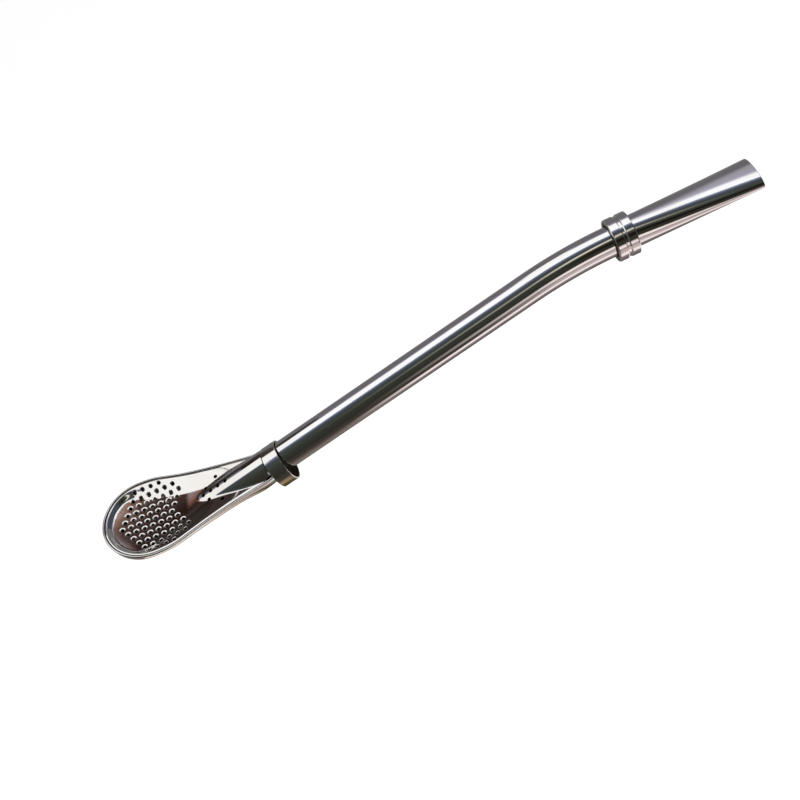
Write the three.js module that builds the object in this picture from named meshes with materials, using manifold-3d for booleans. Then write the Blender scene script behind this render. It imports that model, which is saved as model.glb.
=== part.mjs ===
// A metal straw for drinking mate: a bent stem with a flattened mouthpiece at one end and, at the
// other, a spoon-shaped filter made of a plain rear bowl and a perforated front strainer.
// Millimetres, +Z up. While it is built, the stem's straight stretch lies on the X axis, the neck
// ring's middle is at x = 0, the mouthpiece points to +X and the strainer's holes face up.

import * as THREE from 'three';
import { mergeVertices } from 'three/addons/utils/BufferGeometryUtils.js';
import Module from 'manifold-3d';

const wasm = await Module();
wasm.setup();

// Stem
const STEM_DIAMETER = 8;
const STEM_WALL = 0.5;
const STRAIGHT_LENGTH = 79.5;       // from the neck ring's middle to the start of the bend
const BEND_RADIUS = 96;
const BEND_ANGLE = THREE.MathUtils.degToRad(13.2);
const STEM_IN_HEAD = 6;             // how far the stem's cut end reaches past the ring's middle

// Grooved collar over the joint of stem and mouthpiece
const COLLAR_DIAMETER = 11.3;
const COLLAR_BAND = 2.45;
const COLLAR_GROOVE_WIDTH = 0.9;
const COLLAR_GROOVE_DEPTH = 0.25;
const COLLAR_SETBACK = 0.8;         // from the end of the bend to the collar
const COLLAR_CHAMFER = 0.2;

// Mouthpiece, round under the collar and flattened towards the lips
const MOUTH_DIAMETER = 8.4;
const MOUTH_WALL = 0.5;
const MOUTH_LENGTH = 36.6;          // from the collar's middle
const LIP_WIDTH = 11.2;
const LIP_HEIGHT = 5;

// Loose ring on the neck
const RING_BORE = 11;
const RING_WALL = 0.35;
const RING_LENGTH = 4.3;

// Spoon head. Its parting line, where bowl and strainer meet, lies in the middle plane and is
// given as a run of straight and bent stretches from the ring's middle to the rim's tip.
const SHEET = 0.35;
const HEAD_LENGTH = 48.85;
const HEAD_HALF_WIDTH = 11.9;       // to the middle of the rim bead
const NECK_HALF_WIDTH = 4.45;       // the same, where the rim bead begins
const NECK_OPENING = THREE.MathUtils.degToRad(9.5);
const NECK_HANDLE = 30;             // how far the neck's opening angle holds
const SHOULDER_HANDLE = 8.7;        // how soon the bowl's full width is reached
const NECK_RISE = 0.5;              // parting line above the stem's axis at the neck
const NECK_STRAIGHT = 2.1;
const NECK_BEND_LENGTH = 4.4;
const NECK_BEND = THREE.MathUtils.degToRad(15.2);
const THROAT_LENGTH = 15.6;
const BOWL_BEND_LENGTH = 9.4;
const BOWL_BEND = THREE.MathUtils.degToRad(3.5);
const RIM_BEAD_RADIUS = 0.5;
const THROAT_END = 14;              // where the bowl has narrowed from sleeve to spoon
const BOWL_DEPTH = 4.7;
const DOME_FULLNESS = 2.6;          // 2 is an ellipse, more is squarer
const TAIL_SLANT = 1;               // how far the strainer's tail corners lie behind its top

// Perforated dish of the strainer
const DISH_WALL_WIDTH = 1.6;
const DISH_WALL_DROP = 1.1;
const DISH_CROWN = 0.45;            // how much the middle lies below the foot of the dish's wall
const DISH_EDGE_HEIGHT = 0.1;       // above the middle of the rim bead
const DISH_START = 9.5;
const DISH_FULL = 31.5;
const HOLE_DIAMETER = 1.05;
const HOLE_PITCH = 2.29;
const HOLE_ROW_PITCH = 1.98;
const HOLE_ROWS_EACH_SIDE = 5;
const HOLES_IN_MIDDLE_ROW = 7;
const FIRST_HOLE_SETBACK = 4.4;     // from the rim's tip to the first hole
const HOLE_EDGE_MARGIN = 1.2;       // bare sheet between a hole's middle and the strainer's rim

// Clearances
const SLEEVE_CLEARANCE = 0.25;      // stem to the bowl and the strainer around it
const SEAM = 0.3;                   // between pieces that lie edge to edge or face to face
const RING_CLEARANCE = 0.3;         // least gap between the off-centre ring and the stem
const BEAD_CLEARANCE = 0.25;        // rim bead to the strainer's sleeve beside it

// How finely round shapes are cut
const TUBE_SIDES = 48;
const HOLE_SIDES = 8;
const BEND_STEPS = 10;
const MOUTH_STEPS = 14;
const BEAD_STEPS = 8;

const stemRadius = STEM_DIAMETER / 2;
const sleeveInner = stemRadius + SLEEVE_CLEARANCE;
const sleeveOuter = sleeveInner + SHEET;
const ringInner = RING_BORE / 2;
const bendEnd = STRAIGHT_LENGTH + BEND_RADIUS * BEND_ANGLE;
const collarLength = 2 * COLLAR_BAND + COLLAR_GROOVE_WIDTH;
const collarMiddle = bendEnd + COLLAR_SETBACK + collarLength / 2;
const collarEnd = collarMiddle + collarLength / 2;
const mouthEnd = collarMiddle + MOUTH_LENGTH;
const rimStart = RING_LENGTH / 2 + SEAM;
const strainerInset = RIM_BEAD_RADIUS + SEAM;
const domeCentre = HEAD_LENGTH - HEAD_HALF_WIDTH;

// Meshes and solids

function geometryFrom(points, triangles) {
  const geometry = new THREE.BufferGeometry();
  const positions = points.flatMap((point) => [point.x, point.y, point.z]);
  geometry.setAttribute('position', new THREE.Float32BufferAttribute(positions, 3));
  geometry.setIndex(triangles.flat());
  return geometry;
}

// Faces of an end cap, as corners of its loop. A strip suits a loop that runs along one side and
// back along the other; any other outline is cut into triangles from its flat points.
function stripFaces(count) {
  const faces = [];
  for (let j = 0; j < count / 2 - 1; j++) {
    faces.push([j, j + 1, count - 2 - j], [j, count - 2 - j, count - 1 - j]);
  }
  return faces;
}

const outlineFaces = (outline) => {
  return THREE.ShapeUtils.triangulateShape(outline.map(([x, y]) => new THREE.Vector2(x, y)), []);
};

// Joins loops of equally many points into a skin; wrapped loops close into a ring.
function loft(loops, { wrap = false, caps = [] } = {}) {
  const count = loops[0].length;
  const triangles = [];
  const spans = wrap ? loops.length : loops.length - 1;
  for (let i = 0; i < spans; i++) {
    const here = i * count;
    const next = ((i + 1) % loops.length) * count;
    for (let j = 0; j < count; j++) {
      const k = (j + 1) % count;
      triangles.push([here + j, next + j, next + k], [here + j, next + k, here + k]);
    }
  }
  for (const { loop, faces } of caps) {
    const first = loop * count;
    const order = loop === 0 ? [0, 1, 2] : [2, 1, 0];
    for (const face of faces) triangles.push(order.map((corner) => first + face[corner]));
  }
  return geometryFrom(loops.flat(), triangles);
}

function signedVolume(positions, triangles) {
  const corner = (index) => new THREE.Vector3().fromArray(positions, 3 * index);
  let total = 0;
  for (let i = 0; i < triangles.length; i += 3) {
    const cross = corner(triangles[i + 1]).cross(corner(triangles[i + 2]));
    total += corner(triangles[i]).dot(cross) / 6;
  }
  return total;
}

// Merges shared corners, drops triangles with no area and turns every face outwards.
function toSolid(geometry) {
  const bare = geometry.clone();
  bare.deleteAttribute('normal');
  bare.deleteAttribute('uv');
  const merged = mergeVertices(bare, 1e-4);
  const positions = merged.attributes.position.array;
  const index = merged.index.array;
  const kept = [];
  for (let i = 0; i < index.length; i += 3) {
    const [a, b, c] = index.slice(i, i + 3);
    if (a !== b && b !== c && c !== a) kept.push(a, b, c);
  }
  if (signedVolume(positions, kept) < 0) kept.reverse();
  const mesh = new wasm.Mesh({
    numProp: 3,
    vertProperties: new Float32Array(positions),
    triVerts: new Uint32Array(kept),
  });
  return new wasm.Manifold(mesh);
}

function toGeometry(solid) {
  const mesh = solid.getMesh();
  const geometry = new THREE.BufferGeometry();
  geometry.setAttribute('position', new THREE.BufferAttribute(mesh.vertProperties, 3));
  geometry.setIndex(new THREE.BufferAttribute(mesh.triVerts, 1));
  return geometry;
}

// A cylinder along X between two places on the axis.
function rod(radius, from, to, sides = TUBE_SIDES) {
  const geometry = new THREE.CylinderGeometry(radius, radius, Math.abs(to - from), sides);
  geometry.rotateZ(Math.PI / 2);
  geometry.translate((from + to) / 2, 0, 0);
  return toSolid(geometry);
}

// The stem's centre line: straight, one bend downwards, straight again

class StemLine extends THREE.Curve {
  getPoint(along) {
    if (along <= STRAIGHT_LENGTH) return new THREE.Vector3(along, 0, 0);
    const turned = Math.min((along - STRAIGHT_LENGTH) / BEND_RADIUS, BEND_ANGLE);
    const point = new THREE.Vector3(STRAIGHT_LENGTH + BEND_RADIUS * Math.sin(turned), 0,
      -BEND_RADIUS * (1 - Math.cos(turned)));
    const rest = Math.max(along - bendEnd, 0);
    return point.addScaledVector(this.getTangent(along), rest);
  }

  getTangent(along) {
    const bent = (along - STRAIGHT_LENGTH) / BEND_RADIUS;
    const turned = THREE.MathUtils.clamp(bent, 0, BEND_ANGLE);
    return new THREE.Vector3(Math.cos(turned), 0, -Math.sin(turned));
  }
}

const stemLine = new StemLine();

// An oval ring of points across the stem's line; a round one has equal half axes.
function crossRing(along, halfWidth, halfHeight) {
  const middle = stemLine.getPoint(along);
  const tangent = stemLine.getTangent(along);
  const up = new THREE.Vector3(-tangent.z, 0, tangent.x);
  const ring = [];
  for (let i = 0; i < TUBE_SIDES; i++) {
    const angle = (i * 2 * Math.PI) / TUBE_SIDES;
    const point = middle.clone().addScaledVector(up, halfHeight * Math.cos(angle));
    point.y = halfWidth * Math.sin(angle);
    ring.push(point);
  }
  return ring;
}

function stemTube() {
  const stations = [-STEM_IN_HEAD];
  for (let i = 0; i <= BEND_STEPS; i++) {
    stations.push(THREE.MathUtils.lerp(STRAIGHT_LENGTH, bendEnd, i / BEND_STEPS));
  }
  stations.push(collarMiddle - SEAM / 2);
  const bore = stemRadius - STEM_WALL;
  const outside = stations.map((along) => crossRing(along, stemRadius, stemRadius));
  const inside = stations.map((along) => crossRing(along, bore, bore));
  return loft([...outside, ...inside.reverse()], { wrap: true });
}

function mouthpiece() {
  const stations = [{ along: collarMiddle + SEAM / 2, flattened: 0 }];
  for (let i = 0; i <= MOUTH_STEPS; i++) {
    const fraction = i / MOUTH_STEPS;
    const along = THREE.MathUtils.lerp(collarEnd, mouthEnd, fraction);
    stations.push({ along, flattened: fraction });
  }
  const ringAt = ({ along, flattened }, inset) => crossRing(along,
    THREE.MathUtils.lerp(MOUTH_DIAMETER, LIP_WIDTH, flattened) / 2 - inset,
    THREE.MathUtils.lerp(MOUTH_DIAMETER, LIP_HEIGHT, flattened) / 2 - inset);
  const outside = stations.map((station) => ringAt(station, 0));
  const inside = stations.map((station) => ringAt(station, MOUTH_WALL));
  return loft([...outside, ...inside.reverse()], { wrap: true });
}

// A turned ring from a closed outline of [distance along the axis, radius] pairs, set across X.
function turned(outline) {
  const profile = outline.map(([along, radius]) => new THREE.Vector2(radius, along));
  const geometry = new THREE.LatheGeometry([...profile, profile[0]], TUBE_SIDES);
  geometry.rotateZ(-Math.PI / 2);
  return toGeometry(toSolid(geometry));
}

function mouthCollar() {
  const outer = COLLAR_DIAMETER / 2;
  const half = collarLength / 2;
  const groove = COLLAR_GROOVE_WIDTH / 2;
  const floor = outer - COLLAR_GROOVE_DEPTH;
  const slope = COLLAR_GROOVE_DEPTH / 2;
  const edge = COLLAR_CHAMFER;
  const stemBore = stemRadius + SEAM;
  const mouthBore = MOUTH_DIAMETER / 2 + SEAM;
  return turned([
    [-half, stemBore], [-half, outer - edge], [edge - half, outer],
    [-groove - slope, outer], [slope - groove, floor], [groove - slope, floor],
    [groove + slope, outer],
    [half - edge, outer], [half, outer - edge], [half, mouthBore], [0, mouthBore], [0, stemBore],
  ]);
}

function neckRing() {
  const half = RING_LENGTH / 2;
  const outer = ringInner + RING_WALL;
  const edge = RING_WALL / 3;
  return turned([
    [-half, ringInner], [-half, outer - edge], [edge - half, outer],
    [half - edge, outer], [half, outer - edge], [half, ringInner],
  ]);
}

// The head is laid out flat and then bent: s runs from the ring's middle to the tip along the
// parting line between bowl and strainer, v is sideways and h stands square to the line.

const outlineHalf = new THREE.CubicBezierCurve(
  new THREE.Vector2(rimStart, NECK_HALF_WIDTH),
  new THREE.Vector2(rimStart + NECK_HANDLE, NECK_HALF_WIDTH + NECK_HANDLE * Math.tan(NECK_OPENING)),
  new THREE.Vector2(domeCentre - SHOULDER_HANDLE, HEAD_HALF_WIDTH),
  new THREE.Vector2(domeCentre, HEAD_HALF_WIDTH),
);

function halfWidthAt(s) {
  let low = 0;
  let high = 1;
  for (let i = 0; i < 30; i++) {
    const middle = (low + high) / 2;
    if (outlineHalf.getPoint(middle).x < s) low = middle;
    else high = middle;
  }
  return outlineHalf.getPoint(low).y;
}

const partingLine = [
  { length: NECK_STRAIGHT, turn: 0 },
  { length: NECK_BEND_LENGTH, turn: NECK_BEND },
  { length: THROAT_LENGTH, turn: 0 },
  { length: BOWL_BEND_LENGTH, turn: BOWL_BEND },
  { length: Infinity, turn: 0 },
];

// The parting line's point and the direction square to it, at a distance along the line.
function headFrame(s) {
  const origin = new THREE.Vector3(0, 0, NECK_RISE);
  let heading = 0;
  let left = s;
  for (const { length, turn } of partingLine) {
    const walked = Math.min(left, length);
    const half = (turn * walked) / length / 2;
    const chord = half === 0 ? walked : (walked * Math.sin(half)) / half;
    origin.x -= chord * Math.cos(heading + half);
    origin.z += chord * Math.sin(heading + half);
    heading += 2 * half;
    left -= walked;
    if (left <= 0) break;
  }
  return { origin, up: new THREE.Vector3(Math.sin(heading), 0, Math.cos(heading)) };
}

function bend(s, v, h) {
  const { origin, up } = headFrame(s);
  const point = origin.clone().addScaledVector(up, h);
  point.y = v;
  return point;
}

// Rows across the head: straight ones up to the widest place, then a fan round the tip. The last
// row of the fan folds onto itself and closes the skin.
function headRows(from, straightRows, fanRows) {
  const rows = [];
  for (let i = 0; i <= straightRows; i++) {
    const s = THREE.MathUtils.lerp(from, domeCentre, i / straightRows);
    rows.push({ s, fan: 0, halfWidth: halfWidthAt(s) });
  }
  for (let i = 1; i <= fanRows; i++) {
    const fan = (i / fanRows) * (Math.PI / 2);
    rows.push({ s: domeCentre, fan, halfWidth: HEAD_HALF_WIDTH });
  }
  return rows;
}

// A point of a row, at a signed distance from the head's middle line.
function rowPoint(row, across, h) {
  const s = row.s + Math.abs(across) * Math.sin(row.fan);
  return bend(s, across * Math.cos(row.fan), h);
}

// Round the stem the bowl is a close half sleeve; past the stem's end it is shallower.
function bowlDepth(s) {
  const { origin, up } = headFrame(Math.min(s, STEM_IN_HEAD));
  const sleeveDepth = (sleeveOuter + origin.z) / up.z;
  const opened = THREE.MathUtils.smoothstep(s, STEM_IN_HEAD, THROAT_END);
  return THREE.MathUtils.lerp(sleeveDepth, BOWL_DEPTH, opened);
}

// The bowl's section: a sheet that hangs from its two rim beads.
function bowlSection(row) {
  const depth = bowlDepth(row.s);
  const sheetHalf = SHEET / 2;
  const join = Math.acos(sheetHalf / RIM_BEAD_RADIUS);
  const joinHeight = -RIM_BEAD_RADIUS * Math.sin(join);
  const archSteps = 16;
  const section = [];
  const squareness = THREE.MathUtils.lerp(2, DOME_FULLNESS, Math.sin(2 * row.fan));
  const swell = (ratio) => Math.sign(ratio) * Math.abs(ratio) ** (2 / squareness);
  const arch = (halfWidth, sag, angle) => {
    section.push([halfWidth * swell(Math.sin(angle)),
      joinHeight - (sag + joinHeight) * swell(Math.cos(angle))]);
  };
  const bead = (side, angle) => {
    section.push([side * (row.halfWidth + RIM_BEAD_RADIUS * Math.cos(angle)),
      RIM_BEAD_RADIUS * Math.sin(angle)]);
  };
  const archAngle = (i) => (i / archSteps - 0.5) * Math.PI;
  const beadAngle = (i) => -join + (i / BEAD_STEPS) * (Math.PI + 2 * join);
  for (let i = 0; i < archSteps; i++) arch(row.halfWidth + sheetHalf, depth, archAngle(i));
  for (let i = 0; i < BEAD_STEPS; i++) bead(1, beadAngle(i));
  for (let i = archSteps; i > 0; i--) arch(row.halfWidth - sheetHalf, depth - SHEET, archAngle(i));
  for (let i = BEAD_STEPS; i > 0; i--) bead(-1, beadAngle(i));
  return section;
}

function rearBowl() {
  const rows = headRows(rimStart, 18, 10);
  const sections = rows.map(bowlSection);
  const loops = rows.map((row, i) => sections[i].map(([v, h]) => rowPoint(row, v, h)));
  const cap = { loop: 0, faces: outlineFaces(sections[0]) };
  const bowl = toSolid(loft(loops, { caps: [cap] }));
  const stemRoom = rod(sleeveInner, RING_LENGTH, -STEM_IN_HEAD - SEAM);
  return toGeometry(bowl.subtract(stemRoom));
}

// Height of the strainer's upper face, for a place at a distance across a row.
function dishHeight(s, across, halfWidth) {
  const open = THREE.MathUtils.smoothstep(s, DISH_START, DISH_FULL);
  const inward = Math.max(halfWidth - Math.abs(across), 0);
  const wall = DISH_WALL_DROP * THREE.MathUtils.smoothstep(inward, 0, DISH_WALL_WIDTH);
  const share = Math.min(Math.abs(across) / halfWidth, 1);
  return DISH_EDGE_HEIGHT - open * (wall + DISH_CROWN * (1 - share * share));
}

function dishPlate() {
  const rows = headRows(rimStart, 16, 10);
  const wallShares = [0, 0.25, 0.5, 0.75, 1];
  const floorShares = [0.7, 0.4];
  const loops = rows.map((row) => {
    const edge = row.halfWidth - strainerInset;
    const wallFoot = edge - DISH_WALL_WIDTH;
    const right = [0, ...floorShares.map((share) => wallFoot * (1 - share)),
      ...wallShares.map((share) => wallFoot + DISH_WALL_WIDTH * share)];
    const across = [...right.slice(1).reverse().map((distance) => -distance), ...right];
    const face = (drop) => across.map((distance) => {
      return rowPoint(row, distance, dishHeight(row.s, distance, edge) - drop);
    });
    return [...face(0), ...face(SHEET).reverse()];
  });
  return toSolid(loft(loops, { caps: [{ loop: 0, faces: stripFaces(loops[0].length) }] }));
}

// Everything above the middle of the strainer's sheet, as wide as the sleeve needs.
function spaceAboveDish() {
  const reach = sleeveOuter + SEAM;
  const top = 2 * sleeveOuter;
  const steps = 12;
  const loops = [];
  for (let s = -RING_LENGTH; s < domeCentre; s += 1) {
    const edge = halfWidthAt(s) - strainerInset;
    const lower = [];
    const upper = [];
    for (let i = 0; i <= steps; i++) {
      const v = THREE.MathUtils.lerp(-reach, reach, i / steps);
      const sheetMiddle = dishHeight(s, v, Math.max(edge, reach)) - SHEET / 2;
      lower.push(bend(s, v, sheetMiddle));
      upper.push(bend(s, v, top));
    }
    loops.push([...lower, ...upper.reverse()]);
  }
  const faces = stripFaces(loops[0].length);
  return toSolid(loft(loops, { caps: [{ loop: 0, faces }, { loop: loops.length - 1, faces }] }));
}

// Places of the holes, on one staggered grid over dish and ridge.
function holePlaces() {
  const first = HEAD_LENGTH - FIRST_HOLE_SETBACK;
  const places = [];
  const add = (index, row) => {
    places.push({ s: first - index * HOLE_PITCH, v: row * HOLE_ROW_PITCH });
  };
  const lastIndex = HOLES_IN_MIDDLE_ROW + 0.5;
  for (let row = -HOLE_ROWS_EACH_SIDE; row <= HOLE_ROWS_EACH_SIDE; row++) {
    const start = Math.abs(row) / 2;
    for (let index = start; index < start + HOLES_IN_MIDDLE_ROW; index++) {
      const s = first - index * HOLE_PITCH;
      const edge = halfWidthAt(s) - strainerInset;
      const clear = edge - Math.abs(row) * HOLE_ROW_PITCH;
      const besideEdge = s < domeCentre && clear < HOLE_EDGE_MARGIN - strainerInset;
      if (index <= lastIndex && !besideEdge) add(index, row);
    }
  }
  const ridgeStart = HOLES_IN_MIDDLE_ROW + 3;
  for (let index = ridgeStart; index < ridgeStart + 4; index++) add(index, 0);
  for (const side of [-1, 1]) {
    add(ridgeStart + 0.5, side);
    add(ridgeStart + 2, 2 * side);
  }
  return places;
}

function holeDrill({ s, v }) {
  const { up } = headFrame(s);
  const length = 4 * sleeveOuter;
  const geometry = new THREE.CylinderGeometry(HOLE_DIAMETER / 2, HOLE_DIAMETER / 2, length,
    HOLE_SIDES);
  const turn = new THREE.Quaternion().setFromUnitVectors(new THREE.Vector3(0, 1, 0), up);
  geometry.applyQuaternion(turn);
  const place = bend(s, v, 0);
  geometry.translate(place.x, place.y, place.z);
  return toSolid(geometry);
}

// Room for the rim bead beside the stem, cut out of the strainer's sleeve.
function beadRoom(side) {
  const radius = RIM_BEAD_RADIUS + BEAD_CLEARANCE;
  const corners = 2 * BEAD_STEPS;
  const loops = [];
  for (let s = 0; s < STEM_IN_HEAD; s += 0.75) {
    const loop = [];
    for (let i = 0; i < corners; i++) {
      const angle = (i * 2 * Math.PI) / corners;
      const v = halfWidthAt(s) + radius * Math.cos(angle);
      loop.push(bend(s, side * v, radius * Math.sin(angle)));
    }
    loops.push(loop);
  }
  const faces = stripFaces(corners);
  return toSolid(loft(loops, { caps: [{ loop: 0, faces }, { loop: loops.length - 1, faces }] }));
}

// The wedge that slants the corners of the strainer's tail, so that it swings up past the ring.
function tailWedge() {
  const wedge = new THREE.Shape([
    new THREE.Vector2(RING_LENGTH, 0),
    new THREE.Vector2(-rimStart - TAIL_SLANT, 0),
    new THREE.Vector2(-rimStart, sleeveOuter),
    new THREE.Vector2(RING_LENGTH, sleeveOuter),
  ]);
  const geometry = new THREE.ExtrudeGeometry(wedge, { depth: RING_BORE, bevelEnabled: false });
  geometry.rotateX(Math.PI / 2);
  geometry.translate(0, RING_BORE / 2, 0);
  return toSolid(geometry);
}

function frontStrainer() {
  const ridge = rod(sleeveOuter, -rimStart, -domeCentre).intersect(spaceAboveDish());
  const stemRoom = rod(sleeveInner, RING_LENGTH, -HEAD_LENGTH);
  let solid = dishPlate().add(ridge).subtract(stemRoom).subtract(tailWedge());
  for (const side of [-1, 1]) solid = solid.subtract(beadRoom(side));
  for (const place of holePlaces()) solid = solid.subtract(holeDrill(place));
  return toGeometry(solid);
}

// Assembly

function piece(name, geometry, colour, roughness) {
  const material = new THREE.MeshStandardMaterial({ color: colour, roughness, metalness: 1 });
  const mesh = new THREE.Mesh(geometry, material);
  mesh.name = name;
  return mesh;
}

function filterStraw() {
  const straw = new THREE.Group();
  straw.add(piece('stem_tube', stemTube(), 0xc9c7c3, 0.1));
  straw.add(piece('mouthpiece', mouthpiece(), 0xcbc8c6, 0.1));
  straw.add(piece('rear_bowl', rearBowl(), 0xc8c5c0, 0.13));
  straw.add(piece('front_strainer', frontStrainer(), 0xc6c2bd, 0.14));

  const collar = piece('mouth_collar', mouthCollar(), 0xcac8c4, 0.1);
  collar.position.copy(stemLine.getPoint(collarMiddle));
  collar.rotation.y = BEND_ANGLE;
  straw.add(collar);

  // The ring is loose, so it hangs to one side until it all but touches the stem.
  const ring = piece('neck_ring', neckRing(), 0xc7c4bf, 0.12);
  const sag = ringInner - stemRadius - RING_CLEARANCE;
  ring.position.set(0, -sag * Math.SQRT1_2, -sag * Math.SQRT1_2);
  straw.add(ring);
  return straw;
}

// The origin is under the middle of the whole object, on the level of its lowest point.
const straw = filterStraw();
const bounds = new THREE.Box3().setFromObject(straw, true);
const middle = bounds.getCenter(new THREE.Vector3());
straw.position.set(-middle.x, -middle.y, -bounds.min.z);
straw.updateMatrixWorld(true);

export default straw;
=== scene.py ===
import math

import bpy
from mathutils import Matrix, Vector
from mathutils.geometry import delaunay_2d_cdt


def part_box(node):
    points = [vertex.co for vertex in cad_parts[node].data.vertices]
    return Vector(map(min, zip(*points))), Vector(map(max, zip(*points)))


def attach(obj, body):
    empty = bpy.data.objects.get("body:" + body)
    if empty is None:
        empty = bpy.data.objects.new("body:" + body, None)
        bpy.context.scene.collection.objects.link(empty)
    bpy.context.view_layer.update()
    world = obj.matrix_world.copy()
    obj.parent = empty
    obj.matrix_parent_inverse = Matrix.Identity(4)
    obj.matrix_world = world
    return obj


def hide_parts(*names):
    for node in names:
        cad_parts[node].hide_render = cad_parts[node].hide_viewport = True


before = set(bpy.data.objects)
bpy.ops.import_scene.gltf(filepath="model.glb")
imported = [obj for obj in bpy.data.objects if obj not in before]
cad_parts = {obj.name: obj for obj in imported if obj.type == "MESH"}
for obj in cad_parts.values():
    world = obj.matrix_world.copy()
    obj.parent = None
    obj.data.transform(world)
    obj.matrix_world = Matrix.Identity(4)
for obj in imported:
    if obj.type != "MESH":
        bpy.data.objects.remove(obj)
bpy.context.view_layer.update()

# A metal straw for drinking mate. Every length below is in millimetres, measured from the
# neck ring's place on the stem's axis: +X to the mouthpiece, +Z to the strainer's side.
# The placed() function turns such a point into the frame's metres.

MM = 0.001
STEM_RADIUS = 4.0
STEM_WALL = 0.5
STEM_IN_HEAD = 6.0
STRAIGHT_LENGTH = 79.5
BEND_RADIUS = 96.0
BEND_ANGLE = math.radians(13.2)

COLLAR_RADIUS = 5.65
COLLAR_BAND = 2.45
COLLAR_GROOVE_WIDTH = 0.9
COLLAR_GROOVE_DEPTH = 0.25
COLLAR_SETBACK = 0.8

MOUTH_RADIUS = 4.2
MOUTH_LENGTH = 36.6
LIP_HALF_WIDTH = 5.6
LIP_HALF_HEIGHT = 2.5

RING_BORE_RADIUS = 5.5
RING_WALL = 0.35
RING_LENGTH = 4.3
RING_SAG = 1.2

SHEET = 0.35
HEAD_LENGTH = 48.85
HEAD_HALF_WIDTH = 11.9
NECK_HALF_WIDTH = 4.45
NECK_OPENING = math.radians(9.5)
NECK_HANDLE = 30.0
SHOULDER_HANDLE = 8.7
NECK_RISE = 0.5
# The line between bowl and strainer from the neck to the tip, as (length, turn) stretches
PARTING_LINE = (
    (2.1, 0.0),
    (4.4, math.radians(15.2)),
    (15.6, 0.0),
    (9.4, math.radians(3.5)),
    (1000.0, 0.0),
)
BEAD_RADIUS = 0.3
LEAST_BEAD_RADIUS = 0.2
BEAD_LEAD = 0.02
BEAD_OFFSET = 0.2
SHEET_OFFSET = 0.1
THROAT_END = 14.0
BOWL_DEPTH = 4.7
DOME_FULLNESS = 2.6
TAIL_SLANT = 1.0
SLEEVE_INNER = 4.25
SLEEVE_OUTER = 4.6
SLEEVE_EDGE = 4.43

DISH_WALL_WIDTH = 1.6
DISH_WALL_DROP = 1.1
DISH_CROWN = 0.45
DISH_EDGE_HEIGHT = 0.25
DISH_START = 9.5
DISH_FULL = 31.5
DISH_INSET = 0.25
LIP_WIDTH = 0.5
LIP_SLOPE = 0.36
SOFT_WALL_WIDTH = 5.5
WALL_TIGHTENS = (33.0, 43.0)
RIDGE_FILLET = (0.2, 1.0)

HOLE_RADIUS = 0.525
HOLE_PITCH = 2.29
HOLE_ROW_PITCH = 1.98
FIRST_HOLE_SETBACK = 4.4
HOLE_RIM_REACH = 0.88
HOLE_WALL_BLEND = 0.7
DIMPLE_DEPTH = 0.08
DIMPLE_TURN = 6.0
DIMPLE_TURN_START = 0.75
RIDGE_HOLES_END = 24.0
SEAM = 0.3

# How finely the meshes are divided: steps, and distances in millimetres. GRID_MARGIN and
# GRID_HOLE_GAP are shares of the grid's spacing.

TUBE_SIDES = 112
TURNED_SIDES = 128
BOWL_ROWS = 110
BOWL_FAN_ROWS = 48
BOWL_FIRST_ROWS = (0.02, 0.05, 0.1, 0.17, 0.25)
BOWL_ARCH_STEPS = 56
BOWL_BEAD_STEPS = 18
SIDE_STEPS = 120
DOME_STEPS = 96
TAIL_STEPS = 40
EDGE_ROWS = (0.1, 0.2, 0.32, 0.45, 0.6, 0.8, 1.0, 1.25, 1.5, 1.75)
HOLE_SIDES = 28
HOLE_RINGS = (0, 0.06, 0.14, 0.25, 0.4, 0.6, 0.8, 1.0)
GRID_SPACING = 0.28
GRID_MARGIN = 0.6
GRID_HOLE_GAP = 0.4
EDGE_HOLE_GAP = 0.1
EDGE_SLEEVE_GAP = 0.1
HOLE_EDGE_SLACK = 1.01
HALVINGS = 26
TAIL_TRIES = 12

# The stage. Panels and camera are placed in millimetres like the straw, the floor and the
# lamp in the frame's metres, and turns are in degrees.

PANEL_ZERO = 132.5
ROOM_RADIUS = 1000.0
NEAR_RADIUS = 100.0
ROOM_LIGHT = 0.85
FLOOR_LIFT = 0.15
FLOOR_DROP = 1.3
FLOOR_HALF_SIDE = 12.0
LAMP_PLACE = Vector((0.2, 0.3, 1.6))
CAMERA_PLACE = Vector((99.684, -231.745, 252.693))
CAMERA_TURNS = (32.8102, 29.0782, -21.3363)
CAMERA_LENS = 61.18
CAMERA_SHIFT = 0.0009

# Lengths that follow from those above

BEND_END = STRAIGHT_LENGTH + BEND_RADIUS * BEND_ANGLE
COLLAR_LENGTH = 2 * COLLAR_BAND + COLLAR_GROOVE_WIDTH
COLLAR_MIDDLE = BEND_END + COLLAR_SETBACK + COLLAR_LENGTH / 2
COLLAR_END = COLLAR_MIDDLE + COLLAR_LENGTH / 2
MOUTH_END = COLLAR_MIDDLE + MOUTH_LENGTH
RIM_START = RING_LENGTH / 2 + SEAM
DOME_CENTRE = HEAD_LENGTH - HEAD_HALF_WIDTH
DISH_HALF_WIDTH = HEAD_HALF_WIDTH - DISH_INSET

stem_low, stem_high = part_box("stem_tube")
NECK = Vector((stem_low.x + MM * STEM_IN_HEAD, 0, stem_high.z - MM * STEM_RADIUS))


def placed(point):
    return NECK + MM * point


def lerp(low, high, share):
    return low + (high - low) * share


def smoothstep(value, low, high):
    share = min(max((value - low) / (high - low), 0.0), 1.0)
    return share * share * (3 - 2 * share)


# Meshes


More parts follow.
